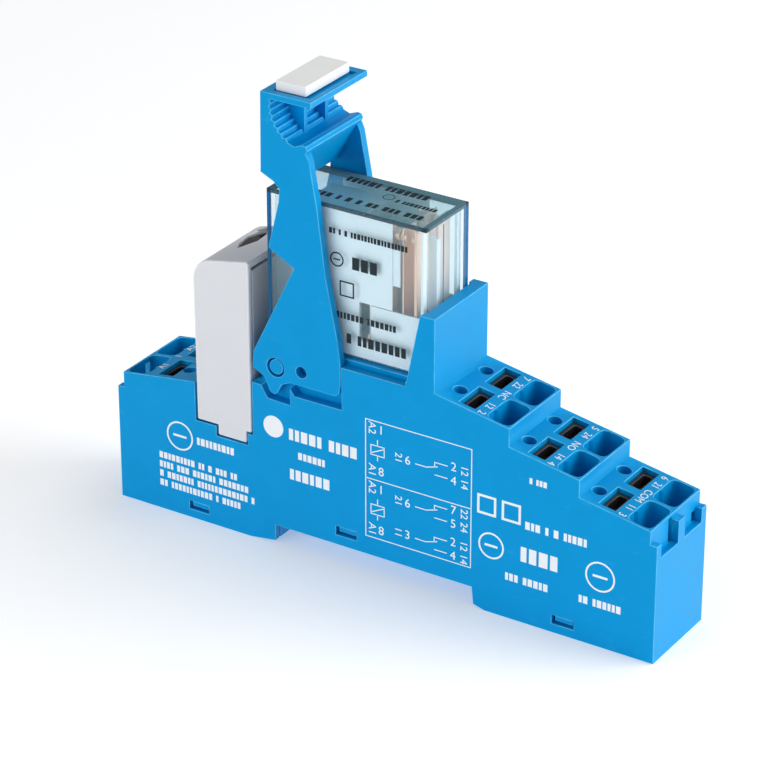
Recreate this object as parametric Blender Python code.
"""Plug-in relay in a rail-mounting socket, with retaining clip and indicator module.

Millimetres throughout, turned into metres as each mesh is written.
X runs along the socket, Y across its width, Z up from the feet.
"""

import math

import bmesh
import bpy

MM = 0.001

# Driving dimensions
LENGTH = 100.0
WIDTH = 15.8
LIP_HEIGHT = 20.5
LIP_DEPTH = 1.2
RECESS_LEFT = -19.2
RECESS_RIGHT = 17.6
RECESS_HEIGHT = 3.55
TIER_SLOPE = 0.175
LEFT_TIER_SLOPE = 0.141
POLE_Y = 3.9
WALL = 1.2
GAP = 0.3

# Relay
RELAY_LEFT = -21.2
RELAY_RIGHT = 8.0
RELAY_HALF_WIDTH = 6.2
RELAY_BOTTOM = 36.5
RELAY_TOP = 61.85
DECK_HEIGHT = 36.2
PIN_Y = 3.75
PIN_WIDTH = 1.4
PIN_THICKNESS = 0.5
PIN_TIP = 31.6
COIL_PIN_X = -17.5
NC_PIN_X = -3.5
COMMON_PIN_X = 1.5
NO_PIN_X = 6.5
COIL_X = -11.8
BLADE_X = 2.95
BLADE_FOOT = 42.5
CONTACT_Z = 58.6
ARMATURE_PIVOT_X = -6.2
ARMATURE_PIVOT_Z = 59.3

# Indicator module
MODULE_LEFT = -34.4
MODULE_RIGHT = -23.7
MODULE_PIN_X = -27.45

# Clip
PIVOT_X = -18.8
PIVOT_Z = 32.1
ARM_INNER = 6.5
CORE_HALF = 6.2

# Terminals
TEST_HOLE_RADIUS = 1.15
BUTTON_WELL = (2.9, 6.0)
BUTTON_SIZE = (2.5, 5.6)
BUTTON_DROP = 0.7
FUNNEL_SIZE = (4.15, 7.1)
FUNNEL_DEPTH = 6.0
FUNNEL_CORNER = 1.0
STRIP = 0.7

HALF_LENGTH = LENGTH / 2
HALF_WIDTH = WIDTH / 2
POLES = {"near": -1, "far": 1}

# One entry a tier: its end, which way is outward, the roof of the chamber under it,
# how deep its bar runs, the relay pin that it feeds and the numbers of its two terminals
TIERS = {
    "upper": {"end": 24.0, "out": 1, "top": 33.22, "roof": 26.4, "run": 21.0,
              "pin": NC_PIN_X, "names": ("12", "22")},
    "middle": {"end": 36.4, "out": 1, "top": 27.95, "roof": 21.2, "run": 14.0,
               "pin": NO_PIN_X, "names": ("14", "24")},
    "lower": {"end": 48.8, "out": 1, "top": 22.83, "roof": 16.2, "run": 7.0,
              "pin": COMMON_PIN_X, "names": ("11", "21")},
    "left": {"end": -48.8, "out": -1, "top": 23.3, "roof": 16.4, "run": 8.5,
             "pin": COIL_PIN_X, "names": ("a1", "a2")},
}
HOLE_SETBACK = {1: 11.15, -1: 10.5}
BUTTON_SETBACK = {1: 8.1, -1: 7.8}
FUNNEL_SETBACK = 2.43


# ---------------------------------------------------------------- small tools

def clear_scene():
    for obj in list(bpy.data.objects):
        bpy.data.objects.remove(obj, do_unlink=True)


def finish(name, colour, roughness, metallic=0.0, alpha=1.0):
    material = bpy.data.materials.new(name)
    material.use_nodes = True
    shader = material.node_tree.nodes["Principled BSDF"]
    shader.inputs["Base Color"].default_value = (*colour, 1.0)
    shader.inputs["Roughness"].default_value = roughness
    shader.inputs["Metallic"].default_value = metallic
    shader.inputs["Alpha"].default_value = alpha
    return material


def at(axis, a, b, along):
    """Place an outline point: (x, z) along y, (x, y) along z, (y, z) along x."""
    return {"y": (a, along, b), "z": (a, b, along), "x": (along, a, b)}[axis]


def add_prism(bm, outline, low, high, axis="y"):
    """A closed prism of one outline, between two positions along an axis."""
    start = [bm.verts.new([v * MM for v in at(axis, a, b, low)]) for a, b in outline]
    end = [bm.verts.new([v * MM for v in at(axis, a, b, high)]) for a, b in outline]
    bm.faces.new(start)
    bm.faces.new(list(reversed(end)))
    for i in range(len(outline)):
        j = (i + 1) % len(outline)
        bm.faces.new((start[j], start[i], end[i], end[j]))


def rectangle(a0, a1, b0, b1):
    return [(a0, b0), (a1, b0), (a1, b1), (a0, b1)]


def circle(a, b, radius, sides):
    turns = [2 * math.pi * i / sides for i in range(sides)]
    return [(a + radius * math.cos(t), b + radius * math.sin(t)) for t in turns]


def arc(a, b, radius, start, end, steps):
    """Points on an arc in degrees, both ends included."""
    turns = [math.radians(start + (end - start) * i / steps) for i in range(steps + 1)]
    return [(a + radius * math.cos(t), b + radius * math.sin(t)) for t in turns]


def rounded(a0, a1, b0, b1, radius, steps=2):
    corners = [(a1, b1, 0), (a0, b1, 90), (a0, b0, 180), (a1, b0, 270)]
    points = []
    for a, b, turn in corners:
        a += -radius if a == a1 else radius
        b += -radius if b == b1 else radius
        points += arc(a, b, radius, turn, turn + 90, steps)
    return points


def box(x0, x1, y0, y1, z0, z1):
    """A block as a prism: outline, low, high, axis."""
    return rectangle(x0, x1, z0, z1), y0, y1, "y"


def both_sides(outline, inner, outer):
    """The same prism on the near and on the far side of the middle plane."""
    return [(outline, side * inner, side * outer, "y") for side in (-1, 1)]


def mesh_of(name, prisms):
    bm = bmesh.new()
    for prism in prisms:
        add_prism(bm, *prism)
    bmesh.ops.recalc_face_normals(bm, faces=bm.faces)
    mesh = bpy.data.meshes.new(name)
    bm.to_mesh(mesh)
    bm.free()
    return mesh


def piece(name, material, *prisms):
    obj = bpy.data.objects.new(name, mesh_of(name, prisms))
    obj.data.materials.append(material)
    bpy.context.collection.objects.link(obj)
    return obj


def boolean(obj, operation, prisms):
    label = f"{obj.name}_{operation.lower()}_{len(obj.modifiers)}"
    guide = bpy.data.objects.new(label, mesh_of(label, prisms))
    bpy.context.collection.objects.link(guide)
    guide.hide_render = True
    guide.display_type = "WIRE"
    modifier = obj.modifiers.new(label, "BOOLEAN")
    modifier.operation = operation
    modifier.object = guide
    modifier.solver = "EXACT"


def cut(obj, *prisms):
    boolean(obj, "DIFFERENCE", prisms)


def join(obj, *prisms):
    boolean(obj, "UNION", prisms)


def smooth(obj, angle=40):
    obj.data.shade_smooth()
    obj.data.set_sharp_from_angle(angle=math.radians(angle))


def group(name, x, y, z):
    """An empty on a joint's axis, which carries the pieces that move together."""
    empty = bpy.data.objects.new(name, None)
    empty.location = (x * MM, y * MM, z * MM)
    bpy.context.collection.objects.link(empty)
    return empty


def carry(empty, *objects):
    for obj in objects:
        obj.parent = empty
        obj.location = -empty.location


# -------------------------------------------------------------------- socket

def tier_height(tier, x):
    slope = TIER_SLOPE if tier["out"] > 0 else LEFT_TIER_SLOPE
    return tier["top"] + slope * abs(tier["end"] - x)


def tier_places(tier):
    """Where a tier's test hole, release button and wire funnel are along X."""
    out = tier["out"]
    hole = tier["end"] - out * HOLE_SETBACK[out]
    button = tier["end"] - out * BUTTON_SETBACK[out]
    funnel = tier["end"] - out * FUNNEL_SETBACK
    return hole, button, funnel


def housing_outline():
    upper, middle, lower, left = (TIERS[n] for n in ("upper", "middle", "lower", "left"))
    tower = 10.6
    inset = HALF_LENGTH - LIP_DEPTH
    return [
        (-HALF_LENGTH, 0), (-24.2, 0), (RECESS_LEFT - 0.1, 0.7), (RECESS_LEFT, RECESS_HEIGHT),
        (RECESS_RIGHT, RECESS_HEIGHT), (RECESS_RIGHT + 0.3, 0.6), (20.0, 0), (HALF_LENGTH, 0),
        (HALF_LENGTH, LIP_HEIGHT), (inset, LIP_HEIGHT), (inset, lower["top"]),
        (middle["end"], tier_height(lower, middle["end"])), (middle["end"], middle["top"]),
        (upper["end"], tier_height(middle, upper["end"])), (upper["end"], upper["top"]),
        (tower, tier_height(upper, tower)), (tower, 48.1), (7.9, 48.1),
        (5.47, DECK_HEIGHT), (-22.6, DECK_HEIGHT), (-22.6, 28.4), (-23.4, 28.4),
        (-23.4, 18.7), (-24.4, 18.7), (-24.4, 16.65), (-30.5, 16.65), (-30.5, 18.4),
        (-34.5, 18.4), (-34.6, tier_height(left, -34.6)), (-inset, left["top"]),
        (-inset, LIP_HEIGHT), (-HALF_LENGTH, LIP_HEIGHT),
    ]


def chamber_outline():
    """The space under the tiers, open at the bottom."""
    end = HALF_LENGTH - 1.4
    upper, middle, lower, left = (TIERS[n]["roof"] for n in ("upper", "middle", "lower", "left"))
    return [
        (-end, -1), (-end, left), (-35.8, left), (-35.8, 14.9), (-22.2, 14.9), (-22.2, 24.6),
        (8.5, 24.6), (8.5, upper), (23.75, upper), (23.75, middle), (36.15, middle),
        (36.15, lower), (end, lower), (end, -1),
    ]


def clip_recess_outline():
    """Side skin cut back so that the clip's arm lies flush in it."""
    return [
        (-23.5, 28.4), (-21.6, 28.3), (-20.4, 26.3), (-16.15, 26.15), (-16.1, 29.15),
        (-15.3, 27.95), (-6.4, 28.0), (-6.5, 35.4), (5.3, 35.4), (5.3, 37.5), (-23.5, 37.5),
    ]


def end_pockets(side):
    """Two open-topped pockets beside the middle pillar of an end lip."""
    outer = side * (HALF_LENGTH + 1)
    face = side * (HALF_LENGTH - LIP_DEPTH)
    groove = side * (HALF_LENGTH - 2.2)
    span = sorted((outer, face))
    deep = sorted((outer, groove))
    pockets = [box(*span, -6.5, -1.1, 18.1, 21.5), box(*span, 0.95, 6.4, 18.1, 21.5)]
    grooves = [box(*deep, -2.3, -1.1, 18.2, 22.4), box(*deep, 5.2, 6.4, 18.2, 20.0)]
    return pockets, grooves


def make_socket_housing(plastic):
    housing = piece("socket_housing", plastic, (housing_outline(), -HALF_WIDTH, HALF_WIDTH))
    pillars = [box(s * 49.4 - 0.6, s * 49.4 + 0.6, -1.1, 0.95, 20.0, 21.8) for s in (-1, 1)]
    join(housing, *pillars)
    cut(housing, box(3.0, 8.3, -6.6, 6.6, DECK_HEIGHT, 50))
    cut(housing, *both_sides(clip_recess_outline(), CORE_HALF, HALF_WIDTH + 1))
    cut(housing, *both_sides(chamber_outline(), 0.4, HALF_WIDTH - WALL))
    relay_chamber = rectangle(-21.6, 7.9, 23.8, 34.4)
    cut(housing, *both_sides(relay_chamber, 0.4, 4.9))
    cover_space = [(-48.6, -1), (-48.6, 1.5), (-20.7, 1.5), (-20.7, 5.05), (44, 5.05),
                   (44, 1.5), (48.6, 1.5), (48.6, -1)]
    cut(housing, (cover_space, -6.7, 6.7))
    for side in (-1, 1):
        pockets, grooves = end_pockets(side)
        cut(housing, *pockets)
        cut(housing, *grooves)
    for tier in TIERS.values():
        cut(housing, *terminal_wells(tier))
        cut(housing, *wire_entries(tier))
    slots = [COIL_PIN_X, NC_PIN_X, COMMON_PIN_X, NO_PIN_X]
    cut(housing, *[pin_slot(x, side, 34.0, 37.0) for x in slots for side in (-1, 1)])
    cut(housing, *[pin_slot(MODULE_PIN_X, side, 14.0, 17.5) for side in (-1, 1)])
    lug_pocket = rectangle(-15.2, -9.3, 34.9, 37.0)
    cut(housing, *both_sides(lug_pocket, 5.2, CORE_HALF + 0.5))
    windows = [(-36.25, -32.4, 1.6, 3.1), (-7.65, -3.75, 5.35, 6.9), (32.1, 36.0, 1.6, 3.1)]
    cut(housing, *[(rectangle(*w), -HALF_WIDTH - 1, HALF_WIDTH + 1) for w in windows])
    bosses = both_sides(circle(PIVOT_X, PIVOT_Z, 1.3, 20), CORE_HALF - 0.4, HALF_WIDTH - 0.2)
    join(housing, *bosses)
    return housing


def terminal_wells(tier):
    """Test holes, button wells and the wide part of the wire funnels of one tier."""
    hole, button, funnel = tier_places(tier)
    prisms = []
    for side in POLES.values():
        y = side * POLE_Y
        dx, dy = BUTTON_WELL
        fx, fy = FUNNEL_SIZE
        top = tier["top"] + 6
        floor = tier_height(tier, funnel) - FUNNEL_DEPTH
        prisms.append((circle(hole, y, TEST_HOLE_RADIUS, 16), tier["roof"] - 0.5, top, "z"))
        prisms.append((rectangle(button - dx / 2, button + dx / 2, y - dy / 2, y + dy / 2),
                       tier["roof"] - 0.5, top, "z"))
        shape = rounded(funnel - fx / 2, funnel + fx / 2, y - fy / 2, y + fy / 2, FUNNEL_CORNER)
        prisms.append((shape, floor, top, "z"))
    return prisms


def wire_entries(tier):
    """The narrow mouth at the floor of each funnel."""
    funnel = tier_places(tier)[2]
    out = tier["out"]
    x0, x1 = sorted((funnel - out * 1.5, funnel + out * 0.9))
    middle = tier_height(tier, funnel) - FUNNEL_DEPTH
    return [box(x0, x1, side * POLE_Y - 1.7, side * POLE_Y + 1.7, tier["roof"] - 0.5, middle + 1)
            for side in POLES.values()]


def pin_slot(x, side, low, high):
    return box(x - 0.6, x + 0.6, side * PIN_Y - 1.1, side * PIN_Y + 1.1, low, high)


def make_base_cover(plastic):
    """Plate that closes the socket from below and snaps into its side walls."""
    outline = [
        (-48.3, 0), (-24.2, 0), (RECESS_LEFT - 0.1, 0.7), (RECESS_LEFT, RECESS_HEIGHT),
        (RECESS_RIGHT, RECESS_HEIGHT), (RECESS_RIGHT + 0.3, 0.6), (20.0, 0), (48.3, 0),
        (48.3, 1.2), (18.9, 1.2), (18.9, 4.75), (-20.4, 4.75), (-20.4, 1.2), (-48.3, 1.2),
    ]
    cover = piece("base_cover", plastic, (outline, -6.4, 6.4))
    tabs = [(-34.35, 1.0, 3.0), (-5.7, 4.5, 6.8), (34.05, 1.0, 3.0)]
    for x, low, high in tabs:
        join(cover, *both_sides(rectangle(x - 1.6, x + 1.6, low, high), 5.5, 6.4))
        nose = rectangle(x - 1.6, x + 1.6, high - 1.05, high - 0.2)
        join(cover, *both_sides(nose, 6.0, 7.4))
    join(cover, *both_sides(rectangle(21, 31, 0.9, 2.6), 2.8, 3.6))
    join(cover, box(38.6, 39.6, -1.6, 1.6, 0.9, 3.8))
    cut(cover, box(16.5, 20.0, -2.8, 2.8, 1.3, 3.75))
    return cover


def make_rail_foot(plastic):
    """Sprung hook that holds the socket under the edge of a mounting rail."""
    outline = [(16.5, 2.3), (17.5, 3.35), (30.8, 3.35), (30.8, 1.6), (18.2, 1.6), (17.2, 1.75)]
    foot = piece("rail_foot", plastic, (outline, -2.5, 2.5))
    carry(group("rail_foot_slide", 16.5, 0, 2.3), foot)
    return foot


def add_tube(bm, path, radius, sides, steps):
    """A closed tube round a path: a function of 0 to 1 that gives a point and a direction."""
    rings = []
    for i in range(steps + 1):
        point, normal, binormal = path(i / steps)
        ring = []
        for j in range(sides):
            t = 2 * math.pi * j / sides
            offset = [math.cos(t) * n + math.sin(t) * b for n, b in zip(normal, binormal)]
            ring.append(bm.verts.new([(p + radius * o) * MM for p, o in zip(point, offset)]))
        rings.append(ring)
    for first, second in zip(rings, rings[1:]):
        for j in range(sides):
            k = (j + 1) % sides
            bm.faces.new((first[j], first[k], second[k], second[j]))
    bm.faces.new(list(reversed(rings[0])))
    bm.faces.new(rings[-1])


def make_rail_foot_spring(steel):
    """Compression spring between the hook's slider and the stop on the base cover."""
    start, end, coil, turns = 31.4, 38.0, 1.05, 6

    def path(u):
        t = 2 * math.pi * turns * u
        point = (start + (end - start) * u, coil * math.cos(t), 2.6 + coil * math.sin(t))
        return point, (0, math.cos(t), math.sin(t)), (1, 0, 0)

    bm = bmesh.new()
    add_tube(bm, path, 0.2, 6, turns * 10)
    bmesh.ops.recalc_face_normals(bm, faces=bm.faces)
    mesh = bpy.data.meshes.new("rail_foot_spring")
    bm.to_mesh(mesh)
    bm.free()
    mesh.materials.append(steel)
    spring = bpy.data.objects.new("rail_foot_spring", mesh)
    bpy.context.collection.objects.link(spring)
    smooth(spring)
    return spring


# ----------------------------------------------------------------- terminals

def fork_outline(x, low, tip, stem):
    """Two leaves that grip a pin, on a stem that reaches down to the bar."""
    inner, outer = 0.5, 0.95
    half = STRIP / 2
    return [
        (x - half, stem), (x - half, low), (x - outer, low), (x - outer, tip), (x - inner, tip),
        (x - inner, low + 0.5), (x + inner, low + 0.5), (x + inner, tip), (x + outer, tip),
        (x + outer, low), (x + half, low), (x + half, stem),
    ]


def make_contact_bar(name, tier, side, brass):
    """Brass bar from a terminal's clamp to the fork that takes the relay's pin."""
    out = tier["out"]
    funnel = tier_places(tier)[2]
    run, pin = tier["run"], tier["pin"]
    y0, y1 = side * (PIN_Y - 0.8), side * (PIN_Y + 0.8)
    plate = sorted((funnel + out * 1.1, funnel + out * 1.8))
    x0, x1 = sorted((pin - out * STRIP / 2, funnel + out * 1.8))
    top = tier["roof"] - 1.0
    fork = fork_outline(pin, 30.0, 34.1, run - STRIP / 2)
    if name in ("12", "22"):
        bar = piece(f"contact_bar_{name}", brass,
                    (rectangle(x0, x1, run - STRIP, run), side * 5.2, side * 6.2))
        join(bar, box(*plate, *sorted((side * 2.2, side * 6.2)), run - STRIP - 0.1, top))
        foot = rectangle(pin - 0.45, pin + 0.45, run - STRIP - 0.1, run + 0.1)
        join(bar, (foot, side * 2.9, side * 6.3))
        join(bar, (fork, y0, y1))
        return bar
    bar = piece(f"contact_bar_{name}", brass, (rectangle(x0, x1, run - STRIP, run), y0, y1))
    join(bar, box(*plate, *sorted((side * 2.2, side * 5.6)), run - STRIP - 0.1, top))
    join(bar, (fork, y0 - side * 0.05, y1 + side * 0.05))
    if tier is TIERS["left"]:
        module_fork = fork_outline(MODULE_PIN_X, 10.6, 14.6, run - STRIP / 2)
        join(bar, (module_fork, y0 - side * 0.05, y1 + side * 0.05))
    return bar


def ribbon(points, thickness):
    """Outline of a bent strip, mitred at its corners."""
    half = thickness / 2
    sides = ([], [])
    for i, (a, b) in enumerate(points):
        before = points[max(i - 1, 0)]
        after = points[min(i + 1, len(points) - 1)]
        first = math.atan2(b - before[1], a - before[0]) if i else None
        last = math.atan2(after[1] - b, after[0] - a) if i < len(points) - 1 else None
        first = last if first is None else first
        last = first if last is None else last
        middle = math.atan2(math.sin(first) + math.sin(last), math.cos(first) + math.cos(last))
        reach = half / max(math.cos((last - first) / 2), 0.5)
        shift = (-math.sin(middle) * reach, math.cos(middle) * reach)
        sides[0].append((a + shift[0], b + shift[1]))
        sides[1].append((a - shift[0], b - shift[1]))
    return sides[0] + list(reversed(sides[1]))


def make_clamp_spring(name, tier, side, steel):
    """Bent steel strip whose end leg presses the wire against the bar."""
    out = tier["out"]
    _, button, funnel = tier_places(tier)
    top = tier["roof"] - 1.5
    points = [
        (funnel + out * 0.6, top - 2.9), (funnel - out * 1.3, top - 0.5), (button, top),
        (button - out * 1.3, top - 0.5), (button - out * 1.7, top - 1.7),
        (button - out * 1.1, top - 2.9), (button + out * 1.6, top - 3.2),
    ]
    outline = ribbon(points, 0.4)
    y = side * POLE_Y
    return piece(f"clamp_spring_{name}", steel, (outline, y - 1.5, y + 1.5))


def make_release_button(name, tier, side, plastic):
    """Black push button: a screwdriver in its pocket opens the clamp."""
    button = tier_places(tier)[1]
    dx, dy = BUTTON_SIZE
    y = side * POLE_Y
    left, right = button - dx / 2, button + dx / 2
    foot = tier["roof"] - 0.9
    outline = [(left, foot), (right, foot), (right, tier_height(tier, right) - BUTTON_DROP),
               (left, tier_height(tier, left) - BUTTON_DROP)]
    obj = piece(f"release_button_{name}", plastic, (outline, y - dy / 2, y + dy / 2))
    top = tier_height(tier, button) - BUTTON_DROP
    cut(obj, (rounded(left + 0.55, right - 0.45, y - 2.0, y + 2.1, 0.4), top - 1.6, top + 2, "z"))
    carry(group(f"release_button_{name}_slide", button, y, top), obj)
    return obj


def make_terminals(brass, steel, black):
    for tier in TIERS.values():
        for name, side in zip(tier["names"], POLES.values()):
            make_contact_bar(name, tier, side, brass)
            make_clamp_spring(name, tier, side, steel)
            make_release_button(name, tier, side, black)


# --------------------------------------------------------------------- relay

def make_relay_cover(clear):
    left, right, half = RELAY_LEFT, RELAY_RIGHT, RELAY_HALF_WIDTH
    wall = 0.8
    shape = rounded(left, right, -half, half, 1.0)
    cover = piece("relay_cover", clear, (shape, RELAY_BOTTOM + 0.4, RELAY_TOP, "z"))
    inside = rounded(left + wall, right - wall, wall - half, half - wall, 0.4, 1)
    cut(cover, (inside, RELAY_BOTTOM - 1, RELAY_TOP - wall, "z"))
    return cover


def relay_pins():
    return [(x, side) for x in (COIL_PIN_X, NC_PIN_X, COMMON_PIN_X, NO_PIN_X)
            for side in POLES.values()]


def make_relay_base(plastic):
    """Moulded base with the walls that part the coil and the two contact sets."""
    top = 39.5
    base = piece("relay_base", plastic, box(-20.1, 6.9, -5.1, 5.1, RELAY_BOTTOM, top))
    join(base, *both_sides(rectangle(-14.0, -4.8, top - 0.5, 58.0), 4.5, 5.1))
    join(base, *both_sides(rectangle(-2.6, 6.4, top - 0.4, 46.0), 4.95, 5.25))
    join(base, box(-2.4, 6.4, -0.5, 0.5, top - 0.5, 57.5))
    join(base, box(-3.0, -2.2, -5.0, 5.0, top - 0.6, 49.9))
    slots = [box(x - 0.45, x + 0.45, side * PIN_Y - 0.9, side * PIN_Y + 0.9, 35, top + 0.1)
             for x, side in relay_pins()]
    cut(base, *slots)
    channels = [box(NC_PIN_X - 0.45, 1.2, side * PIN_Y - 1.2, side * PIN_Y + 1.2, 39.7, 41.2)
                for side in POLES.values()]
    cut(base, *channels)
    return base


def make_coil(bobbin_plastic, copper, iron):
    flange = rectangle(COIL_X - 4.2, COIL_X + 4.2, -4.2, 4.2)
    bobbin = piece("coil_bobbin", bobbin_plastic, (flange, 42.2, 43.2, "z"))
    join(bobbin, (circle(COIL_X, 0, 2.6, 20), 42.7, 57.5, "z"))
    join(bobbin, (flange, 57.0, 58.0, "z"))
    cut(bobbin, (circle(COIL_X, 0, 2.2, 20), 41, 59, "z"))
    winding = piece("coil_winding", copper, (circle(COIL_X, 0, 3.9, 24), 43.4, 56.8, "z"))
    cut(winding, (circle(COIL_X, 0, 2.9, 24), 42, 58, "z"))
    core = piece("iron_core", iron, (circle(COIL_X, 0, 1.9, 20), 41.8, 58.7, "z"))
    join(core, (circle(COIL_X, 0, 2.9, 20), 58.2, 58.9, "z"))
    for obj in (bobbin, winding, core):
        smooth(obj)
    return bobbin, winding, core


def make_yoke(iron):
    outline = [(-15.2, 40.2), (-5.6, 40.2), (-5.6, 59.0), (-6.8, 59.0), (-6.8, 41.4),
               (-15.2, 41.4)]
    return piece("magnet_yoke", iron, (outline, -3.6, 3.6))


def make_armature(iron):
    """Hinged plate that the coil pulls down, with a leg that pushes the card."""
    outline = [(-15.2, 59.7), (-5.1, 59.7), (-5.1, 53.0), (-4.4, 53.0), (-4.4, 60.6),
               (-15.2, 60.6)]
    armature = piece("armature", iron, (outline, -3.4, 3.4))
    carry(group("armature_pivot", ARMATURE_PIVOT_X, 0, ARMATURE_PIVOT_Z), armature)
    return armature


def make_actuator_card(plastic):
    card = piece("actuator_card", plastic, box(-4.1, -3.3, -5.2, 5.2, 52.2, 54.8))
    join(card, *both_sides(rectangle(-3.8, 2.5, 52.6, 54.4), 1.0, 2.8))
    join(card, *both_sides(rectangle(-4.2, 2.7, 50.4, 56.6), 4.9, 5.25))
    carry(group("actuator_card_slide", -4.1, 0, 53.5), card)
    return card


def make_contacts(name, side, copper):
    """One changeover set: fixed closed contact, moving blade and fixed open contact."""
    low, high = side * (PIN_Y - PIN_WIDTH / 2), side * (PIN_Y + PIN_WIDTH / 2)
    half = PIN_THICKNESS / 2
    rivet = circle(side * 3.9, CONTACT_Z, 0.85, 12)
    closed_path = [(NC_PIN_X, PIN_TIP), (NC_PIN_X, 40.3), (0.7, 40.3), (0.7, 60.2)]
    closed = piece(f"closed_contact_{name}", copper, (ribbon(closed_path, 0.4), low, high))
    join(closed, (rivet, 0.6, 2.2, "x"))
    pin_path = [(COMMON_PIN_X, PIN_TIP), (COMMON_PIN_X, 40.3), (BLADE_X, 40.3),
                (BLADE_X, BLADE_FOOT - GAP)]
    common_pin = piece(f"common_pin_{name}", copper, (ribbon(pin_path, 0.4), low, high))
    blade = piece(f"common_blade_{name}", copper,
                  (rectangle(BLADE_X - 0.15, BLADE_X + 0.15, BLADE_FOOT, 60.2),
                   side * 1.2, side * 4.8))
    join(blade, (rivet, BLADE_X - 0.55, BLADE_X + 0.55, "x"))
    open_path = [(NO_PIN_X, PIN_TIP), (NO_PIN_X, 40.3), (5.2, 40.3), (5.2, 45.0)]
    opened = piece(f"open_contact_{name}", copper, (ribbon(open_path, 0.4), low, high))
    join(opened, (rectangle(4.95, 5.45, 44.0, 60.2), side * 1.4, side * 4.8))
    join(opened, (rivet, 4.35, 5.2, "x"))
    carry(group(f"common_blade_{name}_pivot", BLADE_X, side * 3.0, BLADE_FOOT), blade)
    return closed, common_pin, blade, opened


def make_coil_pin(name, side, copper):
    low, high = side * (PIN_Y - PIN_WIDTH / 2), side * (PIN_Y + PIN_WIDTH / 2)
    outline = rectangle(COIL_PIN_X - 0.25, COIL_PIN_X + 0.25, PIN_TIP, 43.4)
    return piece(f"coil_pin_{name}", copper, (outline, low, high))


# ---------------------------------------------------------- indicator module

def module_outline():
    top_left = arc(-30.4, 43.7, 4.0, 180, 101, 6)
    return [
        (-34.2, 18.7), (-30.2, 18.7), (-30.2, 16.95), (-24.7, 16.95), (-24.7, 19.0),
        (MODULE_RIGHT, 19.0), (MODULE_RIGHT, 48.8), (-24.1, 49.05), *reversed(top_left),
    ]


LENS_OUTLINE = [(-29.8, -1.9), (-28.3, 1.3), (-28.6, 4.6), (-30.2, 7.0), (-31.7, 3.7),
                (-31.0, 0.2)]


def make_module(grey, lens_plastic, board_green, red, black, brass):
    case = piece("module_case", grey, (module_outline(), -HALF_WIDTH, HALF_WIDTH))
    inside = [(-33.3, 20.2), (-22, 20.2), (-22, 47.9), (-24.6, 47.6), (-30.4, 46.5),
              (-32.6, 45.2), (-33.3, 43.4)]
    cut(case, (inside, -6.9, 6.9))
    cut(case, (LENS_OUTLINE, 45.0, 51.0, "z"))
    cut(case, *[pin_slot(MODULE_PIN_X, side, 16.0, 21.0) for side in POLES.values()])
    panel = rectangle(-24.6, MODULE_RIGHT - 0.1, 20.5, 47.2)
    cover = piece("module_cover", grey, (panel, -6.6, 6.6))
    lens_middle = [sum(v) / len(LENS_OUTLINE) for v in zip(*LENS_OUTLINE)]
    shrunk = [(lens_middle[0] + (x - lens_middle[0]) * 0.9,
               lens_middle[1] + (y - lens_middle[1]) * 0.94) for x, y in LENS_OUTLINE]
    lens = piece("led_lens", lens_plastic, (shrunk, 45.9, 47.1, "z"))
    board = piece("module_board", board_green, box(-28.9, -27.9, -6.2, 6.2, 21.2, 42.5))
    led = piece("indicator_led", red, (circle(-29.9, 2.6, 1.4, 16), 42.9, 45.3, "z"))
    smooth(led)
    diode = piece("module_diode", black, (circle(-29.9, 30.0, 1.0, 12), -2.5, 2.5, "y"))
    smooth(diode)
    pins = []
    for name, side in zip(("a1", "a2"), POLES.values()):
        low, high = side * (PIN_Y - PIN_WIDTH / 2), side * (PIN_Y + PIN_WIDTH / 2)
        outline = rectangle(MODULE_PIN_X - 0.25, MODULE_PIN_X + 0.25, 12.0, 22.8)
        pins.append(piece(f"module_pin_{name}", brass, (outline, low, high)))
    carry(group("module_slide", MODULE_PIN_X, 0, 17), case, cover, lens, board, led, diode, *pins)


# ---------------------------------------------------------------------- clip

def arm_outline():
    return [
        (-21.0, 66.5), (-21.1, 65.2), (-18.7, 64.1), (-17.6, 63.05), (-17.8, 60.8),
        (-19.8, 52.7), (-15.1, 50.2), (-23.0, 33.9), (-23.1, 31.1), (-21.05, 30.0),
        (-19.9, 27.6), (-19.2, 27.25), (-18.5, 27.7), (-17.7, 29.3), (-16.1, 30.1),
        (-7.75, 30.1), (-6.9, 30.6), (-6.6, 32.0), (-6.6, 35.7), (-7.1, 39.8), (-9.2, 50.0),
        (-10.7, 61.5), (-12.05, 68.8), (-12.5, 69.8), (-13.4, 70.6), (-15.0, 70.6),
        (-19.9, 73.0), (-20.4, 67.5),
    ]


def grip_arc():
    """Hollow finger grip, its face ribbed along Y."""
    ribs, steps = 7, 2
    centre, start, end, radius = (-13.2, 76.6), 172.0, 243.0, 6.1
    points = []
    for i in range(ribs * steps * 2 + 1):
        turn = math.radians(start + (end - start) * i / (ribs * steps * 2))
        depth = radius - 0.35 * abs(math.sin(math.pi * i / (steps * 2)))
        points.append((centre[0] + depth * math.cos(turn), centre[1] + depth * math.sin(turn)))
    return points


def head_outline():
    return [
        (-20.9, 78.6), (-11.6, 78.6), (-11.6, 77.6), (-19.0, 77.6), *grip_arc(),
        (-14.8, 70.75), (-13.4, 71.3), (-12.6, 71.2), (-12.35, 70.5), (-16.2, 63.4),
        (-17.2, 63.75), (-14.6, 69.3), (-17.2, 69.8), (-19.8, 71.8), (-19.8, 65.3),
        (-21.05, 65.3),
    ]


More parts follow.
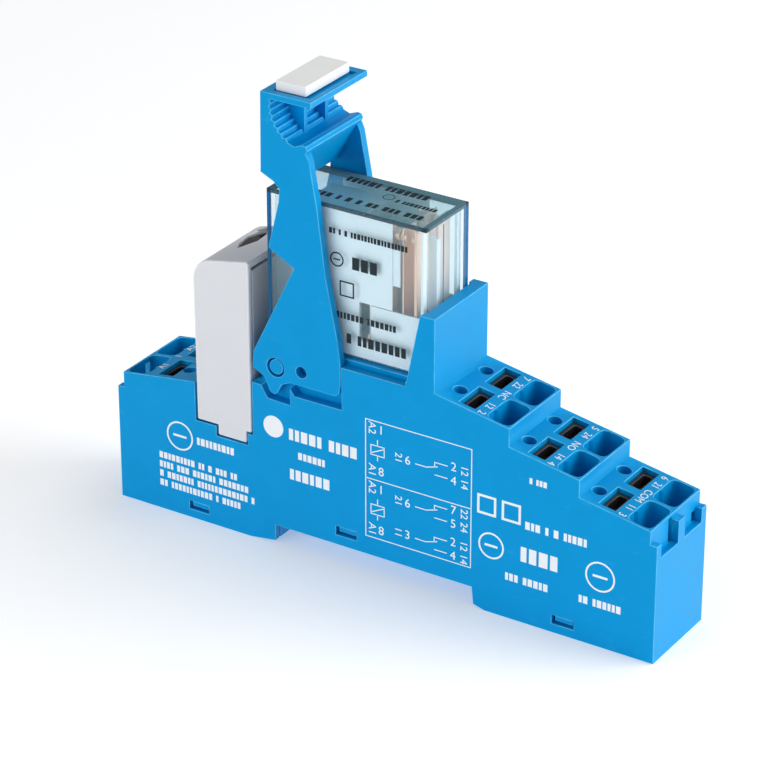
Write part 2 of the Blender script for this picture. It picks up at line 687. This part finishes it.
def make_retaining_clip(plastic):
    clip = piece("retaining_clip", plastic, (head_outline(), -HALF_WIDTH, HALF_WIDTH))
    join(clip, *both_sides(arm_outline(), ARM_INNER, HALF_WIDTH - 0.05))
    rib = [(-15.8, 78.0), (-19.6, 78.0), (-19.0, 74.2), (-16.8, 71.6), (-15.8, 70.8)]
    join(clip, *[(rib, y - 0.4, y + 0.4) for y in (-2.9, 2.9)])
    join(clip, *both_sides(rectangle(-11.3, -9.8, 35.15, 36.2), 5.35, ARM_INNER + 0.5))
    cut(clip, *both_sides(circle(PIVOT_X, PIVOT_Z, 1.65, 20), ARM_INNER - 2, HALF_WIDTH + 1))
    cut(clip, *both_sides(circle(-13.95, 32.5, 1.0, 14), ARM_INNER - 2, HALF_WIDTH + 1))
    cut(clip, box(-19.5, -12.6, -6.5, 6.5, 78.1, 79.5))
    carry(group("clip_pivot", PIVOT_X, 0, PIVOT_Z), clip)
    return clip


def make_marker_tag(plastic):
    tag = piece("marker_tag", plastic, box(-19.2, -13.7, -6.1, 6.15, 78.4, 80.1))
    carry(group("marker_tag_slide", -16.5, 0, 78.4), tag)
    return tag


def main():
    clear_scene()
    blue = finish("blue_plastic", (0.0, 0.27, 0.62), 0.42)
    white = finish("white_plastic", (0.85, 0.86, 0.86), 0.45)
    grey = finish("light_grey_plastic", (0.71, 0.72, 0.75), 0.5)
    black = finish("black_plastic", (0.015, 0.015, 0.015), 0.4)
    clear = finish("clear_blue_plastic", (0.55, 0.82, 0.9), 0.08, alpha=0.35)
    smoked = finish("smoked_plastic", (0.05, 0.045, 0.045), 0.2)
    green = finish("board_green", (0.02, 0.16, 0.07), 0.5)
    red = finish("led_resin", (0.4, 0.03, 0.02), 0.25)
    brass = finish("brass", (0.78, 0.57, 0.25), 0.3, metallic=1.0)
    copper = finish("copper", (0.83, 0.45, 0.28), 0.3, metallic=1.0)
    steel = finish("spring_steel", (0.6, 0.6, 0.58), 0.3, metallic=1.0)
    iron = finish("soft_iron", (0.5, 0.5, 0.5), 0.45, metallic=1.0)

    make_socket_housing(blue)
    make_base_cover(blue)
    make_rail_foot(blue)
    make_rail_foot_spring(steel)
    make_terminals(brass, steel, black)

    relay = group("relay_lift", 0, 0, RELAY_BOTTOM)
    carry(relay, make_relay_cover(clear), make_relay_base(white), make_yoke(iron))
    carry(relay, *make_coil(white, copper, iron))
    for name, side in zip(("1", "2"), POLES.values()):
        closed, common_pin, _, opened = make_contacts(name, side, copper)
        carry(relay, closed, common_pin, opened, make_coil_pin(name, side, copper))
    make_armature(iron)
    make_actuator_card(white)

    make_module(grey, smoked, green, red, black, brass)
    make_retaining_clip(blue)
    make_marker_tag(white)


main()
